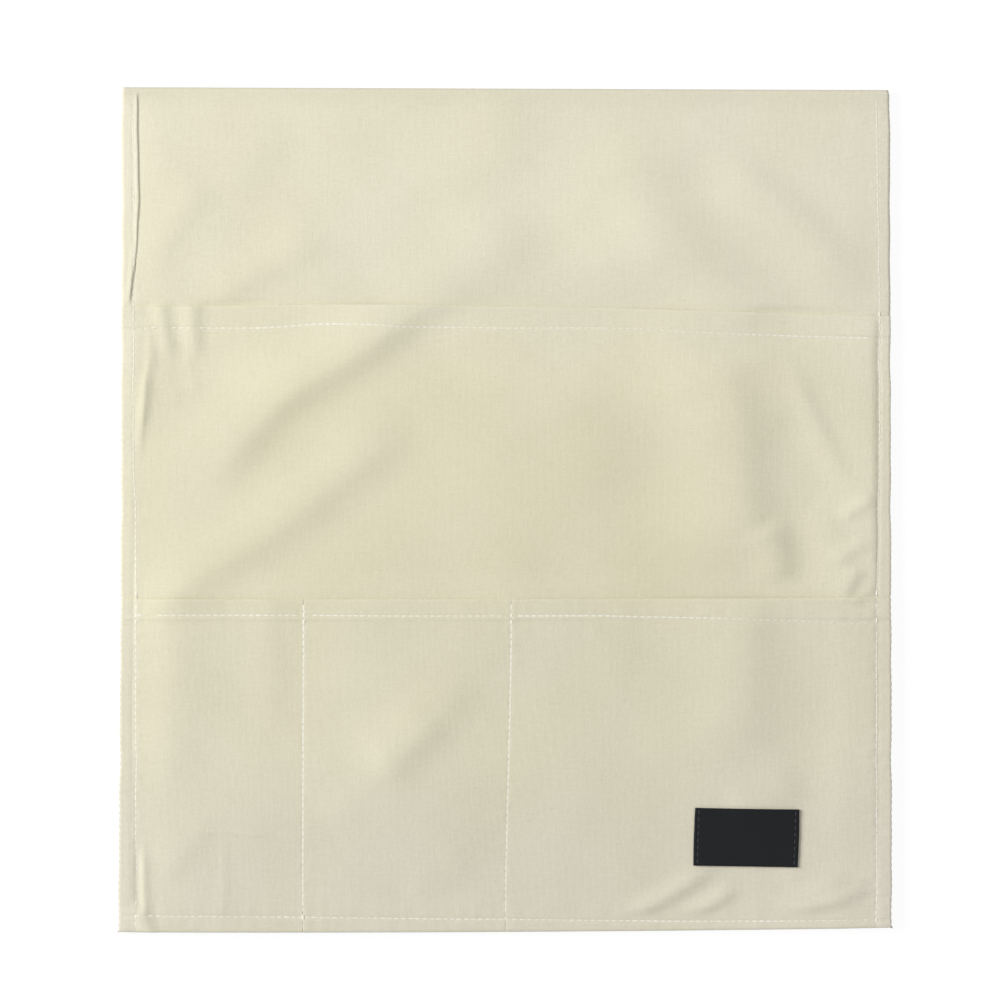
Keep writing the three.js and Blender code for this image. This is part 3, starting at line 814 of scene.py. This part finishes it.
def makeBaseCloth():
    form = baseForm
    hem = turnedHem(cloth["hemWidth"], cloth["hemStack"])
    fine = [(tuck["drawn"], *form["tuckFine"]), (rightSeamX, *form["seamFine"])]
    faceX = gridLines(-halfWidth + form["edge"], halfWidth - form["edge"], form["across"], fine)
    colX, colH = bordered(-halfWidth, hem, faceX, halfWidth, hem)
    # rows run from the front leaf's open end up to the fold, then back underneath
    fine = [(endSeamY, *form["endFine"])]
    front = gridLines(endY + form["edge"], largeMouthY + form["hiddenTo"], form["hidden"], fine)
    front += gridLines(largeMouthY + form["shownFrom"], foldAxisY, form["shown"])
    turn = np.linspace(math.pi / 2, -math.pi / 2, form["foldSteps"] + 1)[1:-1]
    back = gridLines(endY + form["edge"], foldAxisY, form["under"], fine)[::-1]
    face = front + [foldAxisY + foldRadius * math.cos(t) for t in turn] + back
    rowY, rowH = bordered(endY, hem, face, endY, [(-d, h) for d, h in hem])
    sides = [math.pi / 2] * (len(hem) + len(front)), [-math.pi / 2] * (len(back) + len(hem))
    angle = np.array(sides[0] + list(turn) + sides[1])
    rest = lengths(rowY, rowH + foldRadius * form["turnLength"] * angle)

    x, y = np.meshgrid(colX, rowY)
    hx, hy = np.meshgrid(colH, rowH)
    turned = angle[:, None] + 0 * x
    isFront = turned > 1.5
    isBack = turned < -1.5
    # the left columns follow the tuck
    follow = np.interp(x, [-halfWidth + form["edge"], *form["follow"]], [0, 1, 1, 0])
    follow = follow * rise(*form["followFrom"], y - largeMouthY)
    x = np.where(isFront, x + (tuckLine(y) - tuck["drawn"]) * follow, x)
    # covered edges lie inside the pocket cloths that are turned round them
    covers = coveredBy(largeMouthY, y) + coveredBy(lowerMouthY, y)
    inset = np.where(isBack, cloth["backInset"], form["turnInset"])
    inset = np.where(isFront, covers * cloth["layer"], inset)
    x = x - np.sign(x) * inset * sideward(x, form["inset"])
    y = y + np.where(isFront, 2 * cloth["layer"], cloth["backInset"]) * endward(y, form["inset"])

    depth = cornerDepth(hx, hy)
    z = foldRadius + foldRadius * np.sin(turned) - depth * np.sin(turned)
    y = y - depth * np.cos(turned)
    z = np.where(isFront, z + frontTop(x, y) - outerZ, z)
    slack = form["slack"] * swells(x, y, form["seed"], form["lengths"])
    slack = slack * rise(0, form["slackIn"], halfWidth - np.abs(x)) + form["slack"]
    lift = (cloth["backLift"] + slack) * rise(0, form["liftIn"], foldAxisY - y)
    z = np.where(isBack, z + lift, z)
    greyAndShade = greyAndShadeAt(x, y)
    x, y = settle(x, y)
    piece, spots = sewSheet("base_cloth", x, y, z, lengths(colX, colH), rest, linen, cloth["thick"], greyAndShade)
    share = (turned + math.pi / 2) / math.pi
    bindBlend(piece, share[spots])
    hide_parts("back_leaf", "back_left_hem", "back_right_hem", "back_end_hem", "fold_turn",
                "front_leaf", "left_hem", "right_hem", "bottom_hem")


makeBaseCloth()

# A share for each point of a pocket: none at the seams, most in the middle
swing = {"largeIn": 1.5, "largeFoot": (0, 55), "smallIn": 1.2, "smallFoot": (1, 40)}


def largeShare(x, y):
    across = np.clip(np.abs(x) / (rightSeamX - swing["largeIn"]), 0, 1)
    return np.cos(across * math.pi / 2) * rise(*swing["largeFoot"], y - lowerMouthY)


def smallShare(x, y, pocket):
    middle, half = (pocket["left"] + pocket["right"]) / 2, (pocket["right"] - pocket["left"]) / 2
    across = np.clip(np.abs(x - middle) / (half - swing["smallIn"]), 0, 1)
    return np.cos(across * math.pi / 2) * rise(*swing["smallFoot"], y - endSeamY)


pocketGrid = {
    "largeAcross": 2.3, "smallAcross": 1.9, "shown": 0.8, "hidden": 5.0, "hiddenTo": -14,
    "edge": 1.4, "mouth": 1.5, "rowFine": (1.2, 0.4), "sideFine": (2.2, 0.35), "inset": 8,
    "leftFine": (2.6, 0.35), "rightFine": (2.0, 0.35), "meet": 0.02,  # of the small pockets
}


def pocketRows(mouthY, hiddenBelow=None):
    grid = pocketGrid
    hem = turnedHem(pocketForm["mouthHem"], pocketForm["hemStack"])
    seams = [(endSeamY, *grid["rowFine"]), (mouthY - pocketForm["mouthSeam"], *grid["rowFine"])]
    start, face = endY + grid["edge"], []
    if hiddenBelow is not None:
        face = gridLines(start, hiddenBelow, grid["hidden"], seams)
        start = hiddenBelow + grid["shown"]
    face = face + gridLines(start, mouthY - grid["mouth"], grid["shown"], seams)
    return bordered(endY, lap, face, mouthY, hem)


def makeLargePocket():
    grid = pocketGrid
    seams = [(leftSeamX + 1, *grid["sideFine"]), (rightSeamX, *grid["sideFine"])]
    face = gridLines(-halfWidth + grid["edge"], halfWidth - grid["edge"], grid["largeAcross"], seams)
    colX, colH = bordered(-halfWidth, lap, face, halfWidth, lap)
    rowY, rowH = pocketRows(largeMouthY, lowerMouthY + grid["hiddenTo"])
    x, y = np.meshgrid(colX, rowY)
    hx, hy = np.meshgrid(colH, rowH)
    weights = largeShare(x, y)
    inward = cloth["layer"] * coveredBy(lowerMouthY, y) * sideward(x, grid["inset"])
    z = largeTop(x, y) - cornerDepth(hx, hy)
    y = y + cloth["layer"] * endward(y, grid["inset"])
    x = x - np.sign(x) * inward - drawnIn(x, y, hy, largeMouthY)
    greyAndShade = greyAndShadeAt(x, y)
    x, y = settle(x, y)
    u, v = lengths(colX, colH), lengths(rowY, rowH)
    piece, spots = sewSheet("large_pocket_cloth", x, y, z, u, v, linen, cloth["thick"], greyAndShade)
    bindBlend(piece, weights[spots])
    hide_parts("large_pocket_backing", "large_pocket_front")


def makeSmallPocket(kind):
    grid, pocket = pocketGrid, smallPockets[kind]
    low, high = pocket["left"], pocket["right"]
    start, stop = low + grid["meet"], high - grid["meet"]
    seams = [(low + 1, *grid["leftFine"]), (high - 0.5, *grid["rightFine"])]
    if kind == "remote":
        start = -halfWidth + grid["edge"]
    if kind == "tablet":
        stop = halfWidth - grid["edge"]
    face = gridLines(start, stop, grid["smallAcross"], seams)
    leftLap, rightLap = lap if kind == "remote" else [], lap if kind == "tablet" else []
    colX, colH = bordered(-halfWidth, leftLap, face, halfWidth, rightLap)
    rowY, rowH = pocketRows(lowerMouthY)
    x, y = np.meshgrid(colX, rowY)
    hx, hy = np.meshgrid(colH, rowH)
    weights = smallShare(x, y, pocket)
    z = smallTop(x, y, pocket) - cornerDepth(hx, hy)
    greyAndShade = greyAndShadeAt(x, y)
    x = x - drawnIn(x, y, hy, lowerMouthY)
    x, y = settle(x, y)
    # each cloth's weave is cut from another place of the linen
    u, v = lengths(colX, colH) + colX[0] + 400, lengths(rowY, rowH) + 900
    piece, spots = sewSheet(f"{kind}_pocket_cloth", x, y, z, u, v, linen, cloth["thick"], greyAndShade)
    bindBlend(piece, weights[spots])
    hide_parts(f"{kind}_pocket_front")


makeLargePocket()
for kind in smallPockets:
    makeSmallPocket(kind)


# Label: a short woven tape, its two ends turned under, sewn to the wide small pocket
labelForm = {
    "width": 47.2, "height": 26.2, "tilt": math.radians(-1.5), "thick": 0.4, "seam": 1.7, "over": 1.0,
    "pucker": 0.10, "from": 40, "seed": 61, "lengths": (9, 6.1), "fade": 6, "sewn": 0.14, "sewnWide": 0.5,
    "end": [(5.0, 0.86), (2.4, 0.86), (0.6, 0.86), (0.15, 0.7), (0.0, 0.45), (0.12, 0.16), (0.5, 0.0)],
    "edge": 0.9, "across": 1.0, "along": 0.9, "seamFine": (0.8, 0.25), "swell": 0.18, "swellIn": 4,
    "rowIn": 0.4, "rowPoints": 20,
}


def onLabel(across, along):
    turn = labelForm["tilt"]
    x = labelCentre[0] + across * math.cos(turn) - along * math.sin(turn)
    y = labelCentre[1] + across * math.sin(turn) + along * math.cos(turn)
    return x, y


def labelTop(across, along):
    form = labelForm
    x, y = onLabel(across, along)
    rest = smallTop(x, y, smallPockets["tablet"])
    inward = form["width"] / 2 - np.abs(across)
    puckers = form["pucker"] * waves(along + form["from"], form["seed"], form["lengths"])
    sewn = -form["sewn"] * np.exp(-((inward - form["seam"]) / form["sewnWide"]) ** 2)
    return rest + form["over"] + puckers * np.exp(-inward / form["fade"]) + sewn


def makeLabel():
    form = labelForm
    half, tall = form["width"] / 2, form["height"] / 2
    seams = [(sign * (half - form["seam"]), *form["seamFine"]) for sign in (-1, 1)]
    face = gridLines(-half + form["edge"], half - form["edge"], form["across"], seams)
    colX, colH = bordered(-half, form["end"], face, half, form["end"])
    rowY = np.array(gridLines(-tall, tall, form["along"]))
    across, along = np.meshgrid(colX, rowY)
    swell = form["swell"] * (1 - (along / tall) ** 2) * np.sign(across)
    swell = swell * rise(half - form["swellIn"], half, np.abs(across))
    z = labelTop(across, along) - colH
    x, y = onLabel(across + swell, along)
    weights = smallShare(x, y, smallPockets["tablet"])
    x, y = settle(x, y)
    piece, spots = sewSheet("bare_label", x, y, z, lengths(colX, colH), rowY - rowY[0], satin, form["thick"])
    bindBlend(piece, weights[spots])
    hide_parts("woven_label")


makeLabel()
print("cloth made")


# Stitches: one small grain of thread for each, along a row
stitchForm = {
    "length": 3.2, "width": 0.95, "height": 0.26, "sunk": 0.07, "ring": 8, "stack": 5,
    "jitter": 0.06, "uneven": (0.94, 1.06), "askew": 0.04, "step": 0.45,
    "patchy": 0.6, "lengths": (41, 27, 17),
}


def sewRow(stem, places, material, seed, facing=1, size=(1, 1, 1), pale=(0.2, 0.2)):
    form = stitchForm
    draw = random.Random(seed)
    path = [Vector(p[:3]) for p in places]
    runs = [p[3] for p in places]  # distance along the seam as drawn

    def at(run):
        k = int(min(max(np.searchsorted(runs, run) - 1, 0), len(path) - 2))
        share = (run - runs[k]) / max(runs[k + 1] - runs[k], 1e-9)
        return path[k].lerp(path[k + 1], share)

    bm = bmesh.new()
    bm.loops.layers.uv.new("ply")
    count = int(runs[-1] / cloth["pitch"])
    for i in range(count):
        run = (i + 0.5) * cloth["pitch"] + draw.uniform(-1, 1) * form["jitter"]
        long = form["length"] * size[0] * draw.uniform(*form["uneven"])
        head, tail = at(run + long / 2), at(run - long / 2)
        if abs(head.z - tail.z) > form["step"]:  # at a mouth the stitch dives under the hem
            head.z = tail.z = min(head.z, tail.z)
        along = (head - tail).normalized()
        up = Vector((0, 0, facing))
        side = along.cross(up).normalized()
        side = (side + along * draw.uniform(-form["askew"], form["askew"])).normalized()
        up = side.cross(along).normalized()
        turn = Matrix((side, up, along)).transposed().to_4x4()
        wide, high = form["width"] * size[1], form["height"] * size[2]
        grow = Matrix.Diagonal((wide / 2 * mm, high / 2 * mm, long / 2 * mm, 1))
        place = Matrix.Translation(((head + tail) / 2 - up * form["sunk"] * size[2]) * mm)
        bmesh.ops.create_uvsphere(bm, u_segments=form["ring"], v_segments=form["stack"], radius=1,
                                  matrix=place @ turn @ grow, calc_uvs=True)
    piece = newPiece(f"{stem}_stitches", bm, material)
    spot = (np.arange(count) + 0.5) * cloth["pitch"]
    # each stitch's paleness comes from its row's table, which holds painted shade in part, made uneven along
    # the row
    bleach_and_shade = np.interp(spot, np.linspace(0, runs[-1], len(pale)), pale)
    bleach_and_shade = bleach_and_shade * (1 + form["patchy"] * waves(spot, seed, form["lengths"]))
    setValues(piece, "bleach_and_shade", np.repeat(np.clip(bleach_and_shade, 0, 1), len(piece.data.vertices) // count))
    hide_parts(f"{stem}_thread")
    print("stitches", piece.name, count)
    return piece


# Where the middle of a stitch sits: just above the bottom of its groove, or off a hidden face
stitchZ = {
    "top": 0.02, "label": 0.08, "insideFront": outerZ - cloth["hemStack"] - 0.28,
    "underBack": cloth["backLift"] - 0.05, "insideBack": cloth["backLift"] + cloth["hemStack"] + 0.34,
}


def seamPoints(points, face="top", row=None, side=None):  # lays a seam on the cloth
    (x0, y0), (x1, y1) = points
    steps = max(int(math.hypot(x1 - x0, y1 - y0) / cloth["pitch"] * 2), 2)
    x, y = np.linspace(x0, x1, steps + 1), np.linspace(y0, y1, steps + 1)
    run = np.hypot(x - x0, y - y0)
    y = y - stray(row, x) if row else y
    x = seamLine(side, y) if side else x
    z = stitchZ[face] + (topAt(x, y) if face == "top" else 0 * x)
    return np.stack([*settle(x, y), z, run], axis=1).tolist()


def swingWith(piece, shareAt):
    spots = np.array([v.co for v in piece.data.vertices]) / mm
    bindBlend(piece, shareAt(spots[:, 0], spots[:, 1]))


# How pale the thread is along each row, from its start to its end: partly the thread's own uneven tone,
# partly painted shade, lower where a stretch lies in a shaded groove, as in the middle of the right side
# seam
sidePale = {
    "left": (0.1, 0.3, 0.4, 0.4, 0.2, 0.1, 0.1, 0.05, 0.05),
    "right": (0.6, 0.75, 0.85, 0.7, 0.05, 0.3, 0.4, 0.15, 0.1),
}
endPale = (0.1, 0.45, 0.1, 0.4, 0.15, 0.3, 0.4, 0.1, 0.15, 0.1, 0.55, 0.2, 0.5, 0.15, 0.1)
mouthPale = {
    "large": (0.2, 0.35, 0.45, 0.35, 0.25, 0.2, 0.1, 0.1, 0.45, 0.55),
    "remote": (0.2, 0.25), "phone": (0.3, 0.3, 0.15, 0.1), "tablet": (0.55, 0.5, 0.35, 0.15, 0.1, 0.1),
}
seeds = itertools.count(101)  # one for each row, in the order of sewing
largeMouthSeed = 201


def sewHem(front, back, line, pale, row=None, side=None):  # one hem of each leaf, both faces
    rows = ((f"{front}_edge", "front", "top", 1), (f"{front}_edge_bobbin", "front", "insideFront", -1),
            (f"back_{back}_outer", "back", "underBack", -1), (f"back_{back}_inner", "back", "insideBack", 1))
    for stem, body, face, facing in rows:
        places = seamPoints(line, face, *((row, side) if body == "front" else ()))
        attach(sewRow(stem, places, creamThread, next(seeds), facing, pale=pale), body)


for side, x in (("left", leftSeamX), ("right", rightSeamX)):
    sewHem(side, side, [(x, sideStart), (x, sideStop)], sidePale[side], side=side)
sewHem("bottom", "end", [(acrossStart, endSeamY), (acrossStop, endSeamY)], endPale, row="end")

coarse = (1.08, 1.45, 0.9)  # the dividers' stitches
for side, x in (("left", leftDividerX), ("right", rightDividerX)):
    places = seamPoints([(x, sideStart), (x, lowerMouthY - 0.5)])
    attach(sewRow(f"{side}_divider", places, creamThread, next(seeds), 1, coarse, (0.15, 0.3)), "front")

seamY = largeMouthY - pocketForm["mouthSeam"]
places = seamPoints([(acrossStart, seamY), (acrossStop, seamY)], row="large")
stitches = sewRow("large_pocket_mouth", places, creamThread, largeMouthSeed, pale=mouthPale["large"])
swingWith(stitches, largeShare)

seamY = lowerMouthY - pocketForm["mouthSeam"]
clearOfDivider = 1.0
for kind, pocket in smallPockets.items():
    skipped = math.ceil((pocket["left"] + clearOfDivider - acrossStart) / cloth["pitch"])
    first = acrossStart + max(skipped, 0) * cloth["pitch"]
    places = seamPoints([(first, seamY), (pocket["right"] - clearOfDivider, seamY)], row="lower")
    stitches = sewRow(f"{kind}_pocket_mouth", places, creamThread, next(seeds), pale=mouthPale[kind])
    swingWith(stitches, lambda sx, sy, p=pocket: smallShare(sx, sy, p))

fine = (0.65, 0.6, 0.5)  # the label's stitches
for side, sign in (("left", -1), ("right", 1)):
    across = sign * (labelForm["width"] / 2 - labelForm["seam"])
    reach = labelForm["height"] / 2 - labelForm["rowIn"]
    along = np.linspace(-reach, reach, labelForm["rowPoints"])
    height = labelTop(across + 0 * along, along) + stitchZ["label"]
    places = np.stack([*settle(*onLabel(across, along)), height, along - along[0]], axis=1).tolist()
    stitches = sewRow(f"label_{side}", places, blackThread, next(seeds), size=fine)
    swingWith(stitches, lambda sx, sy: smallShare(sx, sy, smallPockets["tablet"]))
print("stitches made")


# Stage: white table, soft light from the left, camera straight above
stageForm = {
    "floor": 8.0, "floorWhite": 0.3, "floorShade": 0.09, "floorLift": 0.93, "world": 0.47,
    "keyPower": 228.0, "keySize": 1.9, "keyPlace": (-3.7, 0.95, 2.35),
    "lens": 120.0, "acrossFrame": 455.0, "aim": (-2.5, 3.9, 3.5),
}


def seenDirectly(tree):  # what the camera sees, also in a shiny or clear surface
    path = addNode(tree, "ShaderNodeLightPath").outputs
    seen = math2(tree, "MAXIMUM", path["Is Camera Ray"], path["Is Glossy Ray"])
    return math2(tree, "MAXIMUM", seen, path["Is Transmission Ray"])


def makeStage():
    form = stageForm
    material, tree, shader = nodesFor("white_table", {})
    tree.nodes.remove(shader)
    shade, white = form["floorShade"], form["floorWhite"]
    shaded = addNode(tree, "ShaderNodeBsdfDiffuse", {"Color": (shade, shade, shade, 1)})
    plain = addNode(tree, "ShaderNodeBsdfDiffuse", {"Color": (white, white, white, 1)})
    lift = addNode(tree, "ShaderNodeEmission", {"Strength": form["floorLift"]})
    both = addNode(tree, "ShaderNodeAddShader", {0: shaded.outputs[0], 1: lift.outputs[0]})
    inputs = {0: seenDirectly(tree), 1: plain.outputs[0], 2: both.outputs[0]}
    table = addNode(tree, "ShaderNodeMixShader", inputs)
    tree.links.new(table.outputs[0], tree.nodes["Material Output"].inputs["Surface"])
    bm = bmesh.new()
    bmesh.ops.create_grid(bm, x_segments=1, y_segments=1, size=form["floor"])
    newPiece("floor", bm, material)

    world = bpy.data.worlds.new("studio")
    scene.world = world
    world.use_nodes = True
    tree = world.node_tree
    background = tree.nodes["Background"].inputs
    background["Color"].default_value = (1, 1, 1, 1)
    tree.links.new(ranged(tree, seenDirectly(tree), form["world"], 1.0), background["Strength"])

    key = placed("key", bpy.data.lights.new("key", "AREA"))
    key.data.energy = form["keyPower"]
    key.data.size = form["keySize"]
    key.location = form["keyPlace"]
    key.rotation_euler = (-Vector(form["keyPlace"])).to_track_quat("-Z", "Y").to_euler()

    camera = placed("camera", bpy.data.cameras.new("camera"))
    camera.data.lens = form["lens"]
    away = form["acrossFrame"] * form["lens"] / camera.data.sensor_width
    camera.location = [c * mm for c in (form["aim"][0], form["aim"][1], form["aim"][2] + away)]
    scene.camera = camera
    scene.view_settings.view_transform = "Standard"


makeStage()
print("stage made")
